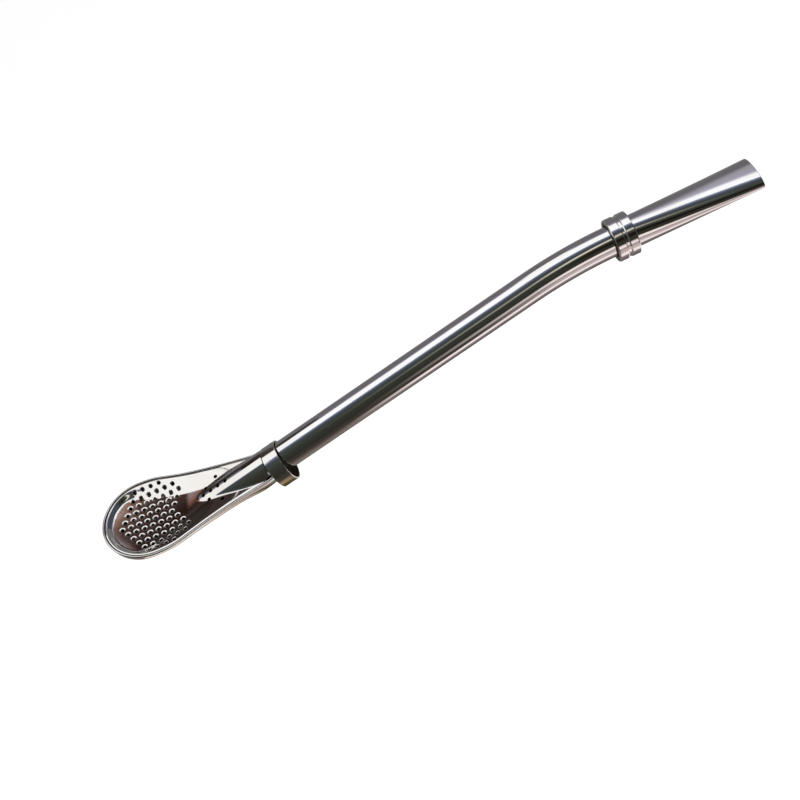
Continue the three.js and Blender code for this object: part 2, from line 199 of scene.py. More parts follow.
def add_piece(name, points, faces, materials, stands_for, normals=None, others=()):
    """A smooth-shaded piece that takes the place of its CAD node and moves with its body.
    others lists the face numbers that take the second material, then the third, and so on."""
    mesh = bpy.data.meshes.new(name)
    mesh.from_pydata([placed(point) for point in points], [], faces)
    mesh.shade_smooth()
    for material in materials:
        mesh.materials.append(material)
    for slot, numbers in enumerate(others, 1):
        for i in numbers:
            mesh.polygons[i].material_index = slot
    if normals:
        mesh.normals_split_custom_set_from_vertices(normals)
    piece = bpy.data.objects.new(name, mesh)
    bpy.context.scene.collection.objects.link(piece)
    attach(piece, stands_for["body"])
    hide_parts(stands_for["node"])


def skin(loops, closed=False):
    """Quads between neighbouring loops; a closed run also joins its last loop to its first."""
    count = len(loops[0])
    spans = len(loops) if closed else len(loops) - 1
    faces = []
    for i in range(spans):
        here = i * count
        following = (i + 1) % len(loops) * count
        for j in range(count):
            k = (j + 1) % count
            faces.append((here + j, following + j, following + k, here + k))
    return faces


def faces_of(spans, count):
    """The numbers of the faces in some spans of a skin with count points to a loop."""
    return [span * count + j for span in spans for j in range(count)]


def rounded(corners, steps=5):
    """A closed outline whose corners, given as (x, y, radius), are rounded off. A point just
    beyond each end of a corner keeps the flat stretches flat when they are shaded."""
    outline = []
    for i, (x, y, radius) in enumerate(corners):
        here = Vector((x, y))
        back = (Vector(corners[i - 1][:2]) - here).normalized()
        onward = (Vector(corners[(i + 1) % len(corners)][:2]) - here).normalized()
        half_angle = back.angle(onward) / 2
        reach = radius / math.tan(half_angle)
        centre = here + (back + onward).normalized() * radius / math.sin(half_angle)
        first = here + back * reach - centre
        last = here + onward * reach - centre
        sweep = math.copysign(math.pi - 2 * half_angle, first.x * last.y - first.y * last.x)
        outline.append(here + back * (reach + radius / 4))
        for step in range(steps + 1):
            angle = sweep * step / steps
            outline.append(centre + Vector((
                first.x * math.cos(angle) - first.y * math.sin(angle),
                first.x * math.sin(angle) + first.y * math.cos(angle),
            )))
        outline.append(here + onward * (reach + radius / 4))
    return outline


# Stem and mouthpiece follow one line: straight, a bend downwards, straight again


def stem_line(along):
    """The line's point at a distance along it, its direction there, and the direction up."""
    turned = min(max((along - STRAIGHT_LENGTH) / BEND_RADIUS, 0.0), BEND_ANGLE)
    tangent = Vector((math.cos(turned), 0, -math.sin(turned)))
    up = Vector((math.sin(turned), 0, math.cos(turned)))
    point = Vector((min(along, STRAIGHT_LENGTH) + BEND_RADIUS * math.sin(turned), 0,
                    -BEND_RADIUS * (1 - math.cos(turned))))
    return point + tangent * max(along - BEND_END, 0.0), tangent, up


def cross_ring(along, half_width, half_height):
    middle, _, up = stem_line(along)
    ring = []
    for i in range(TUBE_SIDES):
        angle = i * 2 * math.pi / TUBE_SIDES
        ring.append(middle + up * half_height * math.cos(angle)
                    + Vector((0, half_width * math.sin(angle), 0)))
    return ring


def wall_outline(start, end, wall, edge, stations):
    """A tube wall cut lengthwise: pairs of distance along and inset, with rounded edges."""
    corners = [(start, 0, edge), (end, 0, edge), (end, wall, edge), (start, wall, edge)]
    outline = rounded(corners, steps=4)
    per_corner = len(outline) // len(corners)
    outside = [Vector((along, 0)) for along in stations]
    inside = [Vector((along, wall)) for along in reversed(stations)]
    return (outline[:per_corner] + outside + outline[per_corner:3 * per_corner]
            + inside + outline[3 * per_corner:])


def stations_between(start, end, spacing):
    count = max(int((end - start) / spacing), 1)
    return [lerp(start, end, (i + 1) / (count + 1)) for i in range(count)]


def stem_tube(material):
    end = COLLAR_MIDDLE - SEAM / 2
    stations = (stations_between(-STEM_IN_HEAD, STRAIGHT_LENGTH, spacing=4)
                + stations_between(STRAIGHT_LENGTH, BEND_END, spacing=0.8)
                + stations_between(BEND_END, end, spacing=2))
    outline = wall_outline(-STEM_IN_HEAD, end, STEM_WALL, edge=0.12, stations=stations)
    loops = [cross_ring(along, STEM_RADIUS - inset, STEM_RADIUS - inset)
             for along, inset in outline]
    points = [point for loop in loops for point in loop]
    add_piece("straw_stem", points, skin(loops, closed=True), [material],
              {"node": "stem_tube", "body": "stem", "slot": "stem_metal"})


def mouth_halves(along):
    flattened = min(max((along - COLLAR_END) / (MOUTH_END - COLLAR_END), 0.0), 1.0)
    return (lerp(MOUTH_RADIUS, LIP_HALF_WIDTH, flattened),
            lerp(MOUTH_RADIUS, LIP_HALF_HEIGHT, flattened))


def mouthpiece(material):
    start = COLLAR_MIDDLE + SEAM / 2
    stations = stations_between(start, MOUTH_END, spacing=1.2)
    outline = wall_outline(start, MOUTH_END, STEM_WALL, edge=0.16, stations=stations)
    loops = []
    for along, inset in outline:
        half_width, half_height = mouth_halves(along)
        loops.append(cross_ring(along, half_width - inset, half_height - inset))
    points = [point for loop in loops for point in loop]
    add_piece("straw_mouthpiece", points, skin(loops, closed=True), [material],
              {"node": "mouthpiece", "body": "stem", "slot": "stem_metal"})


# Turned pieces


def turned_loops(outline, middle, tangent, up):
    """A closed outline of (distance along, radius) pairs, turned round an axis."""
    sideways = Vector((0, 1, 0))
    loops = []
    for along, radius in outline:
        loop = []
        for i in range(TURNED_SIDES):
            angle = i * 2 * math.pi / TURNED_SIDES
            radial = up * math.cos(angle) + sideways * math.sin(angle)
            loop.append(middle + tangent * along + radial * radius)
        loops.append(loop)
    return loops


def mouth_collar(materials):
    half = COLLAR_LENGTH / 2
    groove = COLLAR_GROOVE_WIDTH / 2
    slope = COLLAR_GROOVE_DEPTH / 2
    floor = COLLAR_RADIUS - COLLAR_GROOVE_DEPTH
    stem_bore = STEM_RADIUS + SEAM
    mouth_bore = MOUTH_RADIUS + SEAM
    end_edge, groove_edge, sharp, step_edge = 0.3, 0.14, 0.1, 0.05
    corners = [
        (-half, stem_bore, sharp), (-half, COLLAR_RADIUS, end_edge),
        (-groove - slope, COLLAR_RADIUS, groove_edge), (slope - groove, floor, sharp),
        (groove - slope, floor, sharp), (groove + slope, COLLAR_RADIUS, groove_edge),
        (half, COLLAR_RADIUS, end_edge), (half, mouth_bore, sharp),
        (0, mouth_bore, step_edge), (0, stem_bore, step_edge),
    ]
    middle, tangent, up = stem_line(COLLAR_MIDDLE)
    loops = turned_loops(rounded(corners), middle, tangent, up)
    points = [point for loop in loops for point in loop]
    steps = len(loops) // len(corners)
    # The collar's end faces take the dark second material: painted shade at its ends.
    ends = [*range(steps), *range(7 * steps - 1, 8 * steps)]
    add_piece("straw_collar", points, skin(loops, closed=True), materials,
              {"node": "mouth_collar", "body": "stem", "slot": "fitting_metal"},
              others=[faces_of(ends, TURNED_SIDES)])


def neck_ring(materials):
    half = RING_LENGTH / 2
    outer = RING_BORE_RADIUS + RING_WALL
    edge = RING_WALL * 0.4
    corners = [(-half, RING_BORE_RADIUS, edge), (-half, outer, edge),
               (half, outer, edge), (half, RING_BORE_RADIUS, edge)]
    sag = RING_SAG * math.sqrt(0.5)
    middle = Vector((0, -sag, -sag))
    loops = turned_loops(rounded(corners), middle, Vector((1, 0, 0)), Vector((0, 0, 1)))
    points = [point for loop in loops for point in loop]
    half_steps = len(loops) // len(corners) // 2
    # The bore takes the dark second material: painted shade inside the ring.
    bore = [*range(half_steps), *range(len(loops) - half_steps - 1, len(loops))]
    add_piece("straw_ring", points, skin(loops, closed=True), materials,
              {"node": "neck_ring", "body": "ring", "slot": "fitting_metal"},
              others=[faces_of(bore, TURNED_SIDES)])


# The head is laid out flat and then bent: s runs from the neck to the tip along the parting
# line between bowl and strainer, v is sideways and h stands square to that line


def half_width_at(s):
    """Half the width of the rim, to the middle of its bead: one smooth curve up to the dome."""
    x = (RIM_START, RIM_START + NECK_HANDLE, DOME_CENTRE - SHOULDER_HANDLE, DOME_CENTRE)
    y = (NECK_HALF_WIDTH, NECK_HALF_WIDTH + NECK_HANDLE * math.tan(NECK_OPENING),
         HEAD_HALF_WIDTH, HEAD_HALF_WIDTH)

    def curve(t, values):
        rest = 1 - t
        weights = (rest ** 3, 3 * t * rest * rest, 3 * t * t * rest, t ** 3)
        return sum(weight * value for weight, value in zip(weights, values))

    low, high = 0.0, 1.0
    for _ in range(HALVINGS):
        middle = (low + high) / 2
        if curve(middle, x) < s:
            low = middle
        else:
            high = middle
    return curve(low, y)


def head_frame(s):
    """The parting line's point at a distance along it, and the direction square to it."""
    origin = Vector((0, 0, NECK_RISE))
    heading = 0.0
    left = s
    for length, turn in PARTING_LINE:
        walked = min(left, length)
        half = turn * walked / length / 2
        chord = walked if half == 0 else walked * math.sin(half) / half
        origin.x -= chord * math.cos(heading + half)
        origin.z += chord * math.sin(heading + half)
        heading += 2 * half
        left -= walked
        if left <= 0:
            break
    return origin, Vector((math.sin(heading), 0, math.cos(heading)))


def bend(s, v, h):
    origin, up = head_frame(s)
    point = origin + up * h
    point.y = v
    return point


def bowl_rows():
    """Rows across the bowl as (s, fan, half width): straight ones, closer together where the
    bead begins, then a fan at the tip."""
    places = [RIM_START, *(RIM_START + step for step in BOWL_FIRST_ROWS)]
    places += [lerp(RIM_START, DOME_CENTRE, i / BOWL_ROWS) for i in range(1, BOWL_ROWS + 1)]
    rows = [(s, 0.0, half_width_at(s)) for s in places]
    for i in range(1, BOWL_FAN_ROWS + 1):
        rows.append((DOME_CENTRE, i / BOWL_FAN_ROWS * math.pi / 2, HEAD_HALF_WIDTH))
    return rows


def bowl_depth(s):
    origin, up = head_frame(min(s, STEM_IN_HEAD))
    sleeve_depth = (SLEEVE_OUTER + origin.z) / up.z
    return lerp(sleeve_depth, BOWL_DEPTH, smoothstep(s, STEM_IN_HEAD, THROAT_END))


def bowl_section(s, fan, half_width):
    """Pairs (v, h) round the bowl's sheet and the two rim beads that it hangs from."""
    grown = min((s - RIM_START + BEAD_LEAD) / BEAD_RADIUS, 1.0)
    bead = max(BEAD_RADIUS * math.sqrt(1 - (1 - grown) ** 2), LEAST_BEAD_RADIUS)
    depth = bowl_depth(s)
    outer = SHEET_OFFSET + SHEET / 2
    inner = SHEET_OFFSET - SHEET / 2
    outer_join = math.acos(min((outer - BEAD_OFFSET) / bead, 1.0))
    inner_join = math.acos(min((BEAD_OFFSET - inner) / bead, 1.0))
    squareness = lerp(2, DOME_FULLNESS, math.sin(2 * fan))

    def swell(ratio):
        return math.copysign(abs(ratio) ** (2 / squareness), ratio)

    def arch(offset, sag, join, share):
        angle = (share - 0.5) * math.pi
        start = -bead * math.sin(join)
        return ((half_width + offset) * swell(math.sin(angle)),
                start - (sag + start) * swell(math.cos(angle)))

    def bead_point(side, share):
        angle = lerp(-outer_join, math.pi + inner_join, share)
        return (side * (half_width + BEAD_OFFSET + bead * math.cos(angle)),
                bead * math.sin(angle))

    arch_shares = [i / BOWL_ARCH_STEPS for i in range(BOWL_ARCH_STEPS + 1)]
    bead_shares = [i / BOWL_BEAD_STEPS for i in range(BOWL_BEAD_STEPS + 1)]
    section = [arch(outer, depth, outer_join, share) for share in arch_shares[:-1]]
    section += [bead_point(1, share) for share in bead_shares[:-1]]
    section += [arch(inner, depth - SHEET, inner_join, share) for share in arch_shares[:0:-1]]
    section += [bead_point(-1, share) for share in bead_shares[:0:-1]]
    return section


def clear_of_stem(point):
    """Moves a point of the bowl out of the room that it leaves for the stem."""
    distance = math.hypot(point.y, point.z)
    if point.x > -STEM_IN_HEAD - SEAM and distance < SLEEVE_INNER:
        scale = SLEEVE_INNER / distance
        return Vector((point.x, point.y * scale, point.z * scale))
    return point


def rear_bowl(materials):
    loops = []
    for s, fan, half_width in bowl_rows():
        loop = []
        for v, h in bowl_section(s, fan, half_width):
            row_s = s + abs(v) * math.sin(fan)
            loop.append(clear_of_stem(bend(row_s, v * math.cos(fan), h)))
        loops.append(loop)
    faces = skin(loops)
    count = len(loops[0])
    inside = range(BOWL_ARCH_STEPS + BOWL_BEAD_STEPS, 2 * BOWL_ARCH_STEPS + BOWL_BEAD_STEPS)
    # The bowl's inside faces take the second material: painted shade in the hollow head.
    hollow_faces = [i for i in range(len(faces)) if i % count in inside]
    faces.append(tuple(range(count)))
    points = [point for loop in loops for point in loop]
    add_piece("straw_bowl", points, faces, materials,
              {"node": "rear_bowl", "body": "stem", "slot": "filter_metal"},
              others=[hollow_faces])


# Strainer: a dish with a ridge that runs on as a sleeve over the stem


def dish_height(s, v):
    if s > DOME_CENTRE:
        across = math.hypot(s - DOME_CENTRE, v)
        edge = DISH_HALF_WIDTH
    else:
        across = abs(v)
        edge = half_width_at(s) - DISH_INSET
    opened = smoothstep(s, DISH_START, DISH_FULL)
    inward = edge - across
    lip = LIP_SLOPE * max(LIP_WIDTH - inward, 0) ** 2 / (2 * LIP_WIDTH)
    width = lerp(SOFT_WALL_WIDTH, DISH_WALL_WIDTH, smoothstep(s, *WALL_TIGHTENS))
    wall = DISH_WALL_DROP * smoothstep(inward, LIP_WIDTH / 2, LIP_WIDTH / 2 + width)
    share = min(across / edge, 1.0)
    return DISH_EDGE_HEIGHT - lip - opened * (wall + DISH_CROWN * (1 - share * share))


def ridge_height(s, v):
    if abs(v) >= SLEEVE_OUTER:
        return -SLEEVE_OUTER
    origin, up = head_frame(s)
    return (math.sqrt(SLEEVE_OUTER ** 2 - v * v) - origin.z) / up.z


def strainer_height(s, v):
    dish = dish_height(s, v)
    ridge = ridge_height(s, v)
    fillet = lerp(*RIDGE_FILLET, min(abs(v) / SLEEVE_OUTER, 1.0) ** 4)
    overlap = max(fillet - abs(dish - ridge), 0)
    return max(dish, ridge) + overlap * overlap / (4 * fillet)


def dimple(distance):
    """How far the sheet is pushed in round a punched hole."""
    share = (distance - HOLE_RADIUS) / (HOLE_RIM_REACH - HOLE_RADIUS)
    rest = min(max(1 - share, 0.0), 1.0)
    return DIMPLE_DEPTH * (rest ** 2 + DIMPLE_TURN * max(rest - DIMPLE_TURN_START, 0.0) ** 2)


def strainer_point(s, v, hole):
    height = strainer_height(s, v)
    if hole and hole[0] > RIDGE_HOLES_END:
        height -= dimple(math.hypot(s - hole[0], v - hole[1]))
    return bend(s, v, height)


def strainer_normal(s, v, hole, step=0.004):
    ahead = strainer_point(s + step, v, hole) - strainer_point(s - step, v, hole)
    beside = strainer_point(s, v + step, hole) - strainer_point(s, v - step, hole)
    return beside.cross(ahead).normalized()


def tail_start(v):
    """Where the sleeve's slanted tail begins, for a place at a distance across."""
    height = math.sqrt(SLEEVE_OUTER ** 2 - v * v)
    target = -RIM_START - TAIL_SLANT * (1 - height / SLEEVE_OUTER)
    s = RIM_START
    for _ in range(TAIL_TRIES):
        s += bend(s, v, ridge_height(s, v)).x - target
    return s


def side_edge(s):
    return max(half_width_at(s) - DISH_INSET, SLEEVE_EDGE)


def strainer_edge():
    """The strainer's outline as (s, v), once round from the tail's right corner."""
    start = tail_start(SLEEVE_EDGE)
    places = [lerp(start, DOME_CENTRE, i / SIDE_STEPS) for i in range(SIDE_STEPS)]
    side = [(s, side_edge(s)) for s in places]
    dome = []
    for i in range(DOME_STEPS + 1):
        fan = i / DOME_STEPS * math.pi
        dome.append((DOME_CENTRE + DISH_HALF_WIDTH * math.sin(fan),
                     DISH_HALF_WIDTH * math.cos(fan)))
    other_side = [(s, -v) for s, v in reversed(side)]
    tail = []
    for i in range(1, TAIL_STEPS):
        v = SLEEVE_EDGE * math.sin((i / TAIL_STEPS - 0.5) * math.pi)
        tail.append((tail_start(v), v))
    return side + dome + other_side + tail


def hole_places():
    """Places of the holes as (s, v), on one staggered grid over dish and ridge. The dish's
    rows, counted from the middle line, are given as (first place, number of holes)."""
    rows = {0: (0, 7), 1: (0.5, 7), 2: (1, 7), 3: (1.5, 7), 4: (2, 6), 5: (2.5, 4)}
    ridge = [(10, 0), (11, 0), (12, 0), (13, 0), (10.5, 1), (10.5, -1), (12, 2), (12, -2)]
    dish = [(start + i, side * row) for row, (start, count) in rows.items()
            for side in ((1, -1) if row else (1,)) for i in range(count)]
    first = HEAD_LENGTH - FIRST_HOLE_SETBACK
    return [(first - place * HOLE_PITCH, row * HOLE_ROW_PITCH) for place, row in ridge + dish]


def spread_across(v):
    """Stretches the plan sideways, so that the sleeve's steep sides get enough points."""
    steep = min(abs(v), SLEEVE_EDGE)
    stretched = SLEEVE_OUTER * math.asin(steep / SLEEVE_OUTER) + max(abs(v) - SLEEVE_EDGE, 0)
    return math.copysign(stretched, v)


def narrow_back(w):
    full = SLEEVE_OUTER * math.asin(SLEEVE_EDGE / SLEEVE_OUTER)
    if abs(w) < full:
        return SLEEVE_OUTER * math.sin(w / SLEEVE_OUTER)
    return math.copysign(SLEEVE_EDGE + abs(w) - full, w)


def depth_inside(s, v):
    """How far a place lies inside the strainer's edge."""
    if s > DOME_CENTRE:
        return DISH_HALF_WIDTH - math.hypot(s - DOME_CENTRE, v)
    if abs(v) > side_edge(s):
        return -1
    return min(spread_across(side_edge(s)) - abs(spread_across(v)), s - tail_start(
        math.copysign(min(abs(v), SLEEVE_EDGE), v)))


def far_from_holes(s, v, holes, gap):
    return min(math.hypot(s - hole[0], v - hole[1]) for hole in holes) > HOLE_RIM_REACH + gap


def rows_along_edge(edge):
    """Rows of points that follow the outline inwards, over the lip and down the dish's wall."""
    rows = []
    for depth in EDGE_ROWS:
        for s, v in edge:
            if s > DOME_CENTRE:
                share = 1 - depth / DISH_HALF_WIDTH
                rows.append((DOME_CENTRE + (s - DOME_CENTRE) * share, v * share))
            elif abs(v) - depth > SLEEVE_EDGE + EDGE_SLEEVE_GAP:
                rows.append((s, v - math.copysign(depth, v)))
    return rows


def strainer_plan(edge, holes):
    """Every point of the upper face as (s, v, hole), and the edges that its faces keep to."""
    plan = [(s, v, None) for s, v in edge]
    kept = [(i, (i + 1) % len(edge)) for i in range(len(edge))]
    reach = HOLE_RIM_REACH - HOLE_RADIUS
    for hole in holes:
        for ring, share in enumerate(HOLE_RINGS):
            radius = HOLE_RADIUS + reach * share
            first = len(plan)
            for i in range(HOLE_SIDES):
                angle = (i + ring % 2 / 2) * 2 * math.pi / HOLE_SIDES
                plan.append((hole[0] + radius * math.cos(angle),
                             hole[1] + radius * math.sin(angle), hole))
            if ring == 0:
                kept += [(first + i, first + (i + 1) % HOLE_SIDES) for i in range(HOLE_SIDES)]
    plan += [(s, v, None) for s, v in rows_along_edge(edge)
             if far_from_holes(s, v, holes, EDGE_HOLE_GAP)]
    margin = GRID_SPACING * GRID_MARGIN
    rows = int(HEAD_LENGTH / GRID_SPACING)
    columns = int(spread_across(HEAD_HALF_WIDTH) / GRID_SPACING)
    for i in range(rows):
        for j in range(-columns, columns + 1):
            s = RIM_START + (i + j % 2 / 2) * GRID_SPACING
            v = narrow_back(j * GRID_SPACING)
            depth = depth_inside(s, v)
            beside_rows = abs(v) > SLEEVE_EDGE and depth < EDGE_ROWS[-1] + margin
            if depth < margin or beside_rows:
                continue
            if far_from_holes(s, v, holes, GRID_SPACING * GRID_HOLE_GAP):
                plan.append((s, v, None))
    return plan, kept


def on_hole_edge(s, v, hole):
    reach = HOLE_RADIUS * HOLE_EDGE_SLACK
    return bool(hole) and math.hypot(s - hole[0], v - hole[1]) < reach


def outside_edge(first, second, third):
    """Whether three points of the outline, in its order, turn against its direction."""
    return (second - first).cross(third - first) > 0


def plan_faces(plan, kept, edge_count):
    """Triangles between the plan's points, without those in holes or outside the outline."""
    flat = [Vector((s, spread_across(v))) for s, v, _ in plan]
    tolerance = 1e-6
    _, _, triangles, origins, _, _ = delaunay_2d_cdt(flat, kept, [], 0, tolerance)
    faces = []
    for triangle in triangles:
        corners = [origins[i][0] for i in triangle]
        if all(on_hole_edge(*plan[i]) for i in corners):
            continue
        if max(corners) < edge_count and outside_edge(*(flat[i] for i in sorted(corners))):
            continue
        faces.append(tuple(corners))
    return faces


def front_strainer(materials):
    edge = strainer_edge()
    holes = hole_places()
    plan, kept = strainer_plan(edge, holes)
    faces = plan_faces(plan, kept, len(edge))
    upper = [strainer_point(*place) for place in plan]
    normals = [strainer_normal(*place) for place in plan]
    lower = []
    for (s, v, _), normal in zip(plan, normals):
        _, up = head_frame(s)
        near = min(math.hypot(s - other[0], v - other[1]) for other in holes)
        straight = 1 - smoothstep(near, HOLE_RIM_REACH, HOLE_RIM_REACH + HOLE_WALL_BLEND)
        through = normal.lerp(up, straight).normalized()
        thickness = SHEET / max(through.dot(normal), 0.5)
        lower.append(bend(s, v, strainer_height(s, v)) - through * thickness)
    count = len(plan)
    points = upper + lower
    point_normals = normals + [-normal for normal in normals]
    all_faces = [face[::-1] for face in faces]
    all_faces += [tuple(i + count for i in face) for face in faces]
    smooth_count = len(all_faces)
    for i, k in kept:
        first = len(points)
        corners = [upper[k], upper[i], lower[i], lower[k]]
        outward = (corners[1] - corners[0]).cross(corners[3] - corners[0]).normalized()
        points += corners
        point_normals += [outward] * 4
        all_faces.append((first, first + 1, first + 2, first + 3))
    # The hole walls take the second material: unpolished cut metal, darkened as painted shade.
    cut_faces = range(smooth_count + len(edge), len(all_faces))
    # The underside takes the third material: painted shade in the hollow head.
    inside_faces = range(len(faces), smooth_count)
    add_piece("straw_strainer", points, all_faces, materials,
              {"node": "front_strainer", "body": "strainer", "slot": "strainer_metal"},
              normals=point_normals, others=[cut_faces, inside_faces])


# Materials


class Nodes:
    """Short names for the few node kinds that the materials are made of."""

    def __init__(self, name):
        self.material = bpy.data.materials.new(name)
        self.material.use_nodes = True
        self.tree = self.material.node_tree
        self.shader = self.tree.nodes["Principled BSDF"]
        self.place = self.tree.nodes.new("ShaderNodeTexCoord").outputs["Object"]

    def link(self, source, target):
        self.tree.links.new(source, target)

    def noise(self, scale, detail=3.0, stretch=(1, 1, 1)):
        mapping = self.tree.nodes.new("ShaderNodeMapping")
        mapping.inputs["Scale"].default_value = stretch
        noise = self.tree.nodes.new("ShaderNodeTexNoise")
        noise.inputs["Scale"].default_value = scale
        noise.inputs["Detail"].default_value = detail
        self.link(self.place, mapping.inputs["Vector"])
        self.link(mapping.outputs["Vector"], noise.inputs["Vector"])
        return noise.outputs["Fac"]

    def ramp(self, value, *stops):
        ramp = self.tree.nodes.new("ShaderNodeValToRGB")
        elements = ramp.color_ramp.elements
        while len(elements) < len(stops):
            elements.new(0.5)
        for element, (position, colour) in zip(elements, stops):
            element.position = position
            element.color = (*colour, 1) if isinstance(colour, tuple) else (colour,) * 3 + (1,)
        self.link(value, ramp.inputs["Fac"])
        return ramp.outputs["Color"]

    def bump(self, height, distance, strength, under=None):
        bump = self.tree.nodes.new("ShaderNodeBump")
        bump.inputs["Distance"].default_value = distance
        bump.inputs["Strength"].default_value = strength
        self.link(height, bump.inputs["Height"])
        if under:
            self.link(under, bump.inputs["Normal"])
        return bump.outputs["Normal"]


def polished_metal(name, bright, dull, roughness, lining=0.3):
    """Polished plating with faint tarnish, fine lengthwise polishing lines and soft dents.
    lining is the strength of the lines."""
    nodes = Nodes(name)
    shader = nodes.shader
    shader.inputs["Metallic"].default_value = 1.0
    clouds = nodes.noise(scale=90.0)
    nodes.link(nodes.ramp(clouds, (0.35, bright), (0.75, dull)), shader.inputs["Base Color"])
    smears = nodes.noise(scale=160.0, detail=5.0, stretch=(1, 2, 2))
    nodes.link(nodes.ramp(smears, (0.3, roughness), (0.8, roughness * 2.2)),
               shader.inputs["Roughness"])
    dents = nodes.bump(nodes.noise(scale=55.0, detail=1.0), distance=0.00012, strength=0.25)
    lines = nodes.noise(scale=4.0, detail=2.0, stretch=(40, 900, 900))
    nodes.link(nodes.bump(lines, distance=0.000004, strength=lining, under=dents),
               shader.inputs["Normal"])
    return nodes.material


def painted_hollow_shade_metal():
    """Painted shade: the head's hollow inside, darker, browner and duller, to stand in for the
    shade within it.
    """
    nodes = Nodes("painted_hollow_shade")
    nodes.shader.inputs["Metallic"].default_value = 1.0
    hollow_mottle = nodes.noise(scale=220.0, detail=6.0)
    nodes.link(nodes.ramp(hollow_mottle, (0.3, (0.16, 0.12, 0.09)), (0.7, (0.42, 0.35, 0.28))),
               nodes.shader.inputs["Base Color"])
    nodes.link(nodes.ramp(hollow_mottle, (0.3, 0.5), (0.7, 0.3)), nodes.shader.inputs["Roughness"])
    nodes.link(nodes.bump(hollow_mottle, distance=0.00003, strength=0.3), nodes.shader.inputs["Normal"])
    return nodes.material


def painted_shade_metal():
    """Painted shade: dark, dull metal that stands in for the shade inside the loose ring and at the
    ends of the collar.
    """
    nodes = Nodes("painted_shade_metal")
    nodes.shader.inputs["Metallic"].default_value = 1.0
    shade_mottle = nodes.noise(scale=600.0, detail=5.0)
    nodes.link(nodes.ramp(shade_mottle, (0.3, (0.1, 0.085, 0.07)), (0.7, (0.3, 0.26, 0.22))),
               nodes.shader.inputs["Base Color"])
    nodes.link(nodes.ramp(shade_mottle, (0.3, 0.45), (0.7, 0.3)), nodes.shader.inputs["Roughness"])
    nodes.link(nodes.bump(shade_mottle, distance=0.00002, strength=0.3), nodes.shader.inputs["Normal"])
    return nodes.material


def cut_and_shade_metal():
    """The walls of the punched holes: torn and unpolished, and near black, which is painted shade
    for the dark holes.
    """
    nodes = Nodes("punched_edge_and_shade_metal")
    nodes.shader.inputs["Metallic"].default_value = 1.0
    tears_and_shade = nodes.noise(scale=2500.0, detail=4.0)
    nodes.link(nodes.ramp(tears_and_shade, (0.3, (0.03, 0.025, 0.022)), (0.7, (0.12, 0.1, 0.09))),
               nodes.shader.inputs["Base Color"])
    nodes.link(nodes.ramp(tears_and_shade, (0.3, 0.6), (0.7, 0.4)), nodes.shader.inputs["Roughness"])
    nodes.link(nodes.bump(tears_and_shade, distance=0.00002, strength=0.5), nodes.shader.inputs["Normal"])
    return nodes.material


# Studio: a white room, with panels round the stem's axis that only its reflections see


def panel_material(name, colours, fades):
    """A panel that glows in the given colours across its width. fades are the shares of its
    width and length over which it thins out, at the first and last edge of each."""
    material = bpy.data.materials.new(name)
    material.use_nodes = True
    tree = material.node_tree
    tree.nodes.clear()
    make = tree.nodes.new
    output = make("ShaderNodeOutputMaterial")
    glow = make("ShaderNodeEmission")
    clear = make("ShaderNodeBsdfTransparent")
    mix = make("ShaderNodeMixShader")
    ramp = make("ShaderNodeValToRGB")
    place = make("ShaderNodeUVMap")
    parts = make("ShaderNodeSeparateXYZ")
    elements = ramp.color_ramp.elements
    while len(elements) < len(colours):
        elements.new(0.5)
    for element, (position, colour) in zip(elements, colours):
        element.position = position
        element.color = (*colour, 1)
    tree.links.new(place.outputs["UV"], parts.inputs["Vector"])
    tree.links.new(parts.outputs["X"], ramp.inputs["Fac"])
    tree.links.new(ramp.outputs["Color"], glow.inputs["Color"])
    mix.inputs["Fac"].default_value = 1
    cover = None
    edges = (("X", 0, fades[0]), ("X", 1, fades[1]), ("Y", 0, fades[2]), ("Y", 1, fades[3]))
    for axis, edge, share in edges:
        if share == 0:
            continue
        fade = make("ShaderNodeMapRange")
        fade.interpolation_type = "SMOOTHSTEP"
        fade.inputs["From Min"].default_value = edge
        fade.inputs["From Max"].default_value = abs(edge - share)
        tree.links.new(parts.outputs[axis], fade.inputs["Value"])
        if cover:
            both = make("ShaderNodeMath")
            both.operation = "MULTIPLY"
            tree.links.new(cover, both.inputs[0])
            tree.links.new(fade.outputs["Result"], both.inputs[1])
            cover = both.outputs[0]
        else:
            cover = fade.outputs["Result"]
        tree.links.new(cover, mix.inputs["Fac"])
    tree.links.new(clear.outputs[0], mix.inputs[1])
    tree.links.new(glow.outputs[0], mix.inputs[2])
    tree.links.new(mix.outputs[0], output.inputs["Surface"])
    return material


def reflected_only(name, mesh):
    """Adds a stage object that only reflections see."""
    piece = bpy.data.objects.new(name, mesh)
    bpy.context.scene.collection.objects.link(piece)
    piece.visible_camera = False
    piece.visible_diffuse = False
    piece.visible_shadow = False


def panel(name, turn, reach, colours, fades=(0, 0, 0, 0), radius=ROOM_RADIUS, slant=0.0):
    """A curved panel. turn is its span in degrees round the stem's axis, counted from the
    camera's side over the top; reach is its span along the axis; slant turns its far end."""
    steps = 40
    mesh = bpy.data.meshes.new(name)
    points = []
    for i in range(steps + 1):
        for x, extra in zip(reach, (0.0, slant)):
            angle = math.radians(PANEL_ZERO - lerp(*turn, i / steps) - extra)
            points.append(placed(Vector((x, radius * math.cos(angle), radius * math.sin(angle)))))
    faces = [(2 * i, 2 * i + 1, 2 * i + 3, 2 * i + 2) for i in range(steps)]
    mesh.from_pydata(points, [], faces)
    across = mesh.uv_layers.new(name="across")
    for loop in mesh.loops:
        across.data[loop.index].uv = (loop.vertex_index // 2 / steps, loop.vertex_index % 2)
    mesh.materials.append(panel_material(name, colours, fades))
    reflected_only(name, mesh)


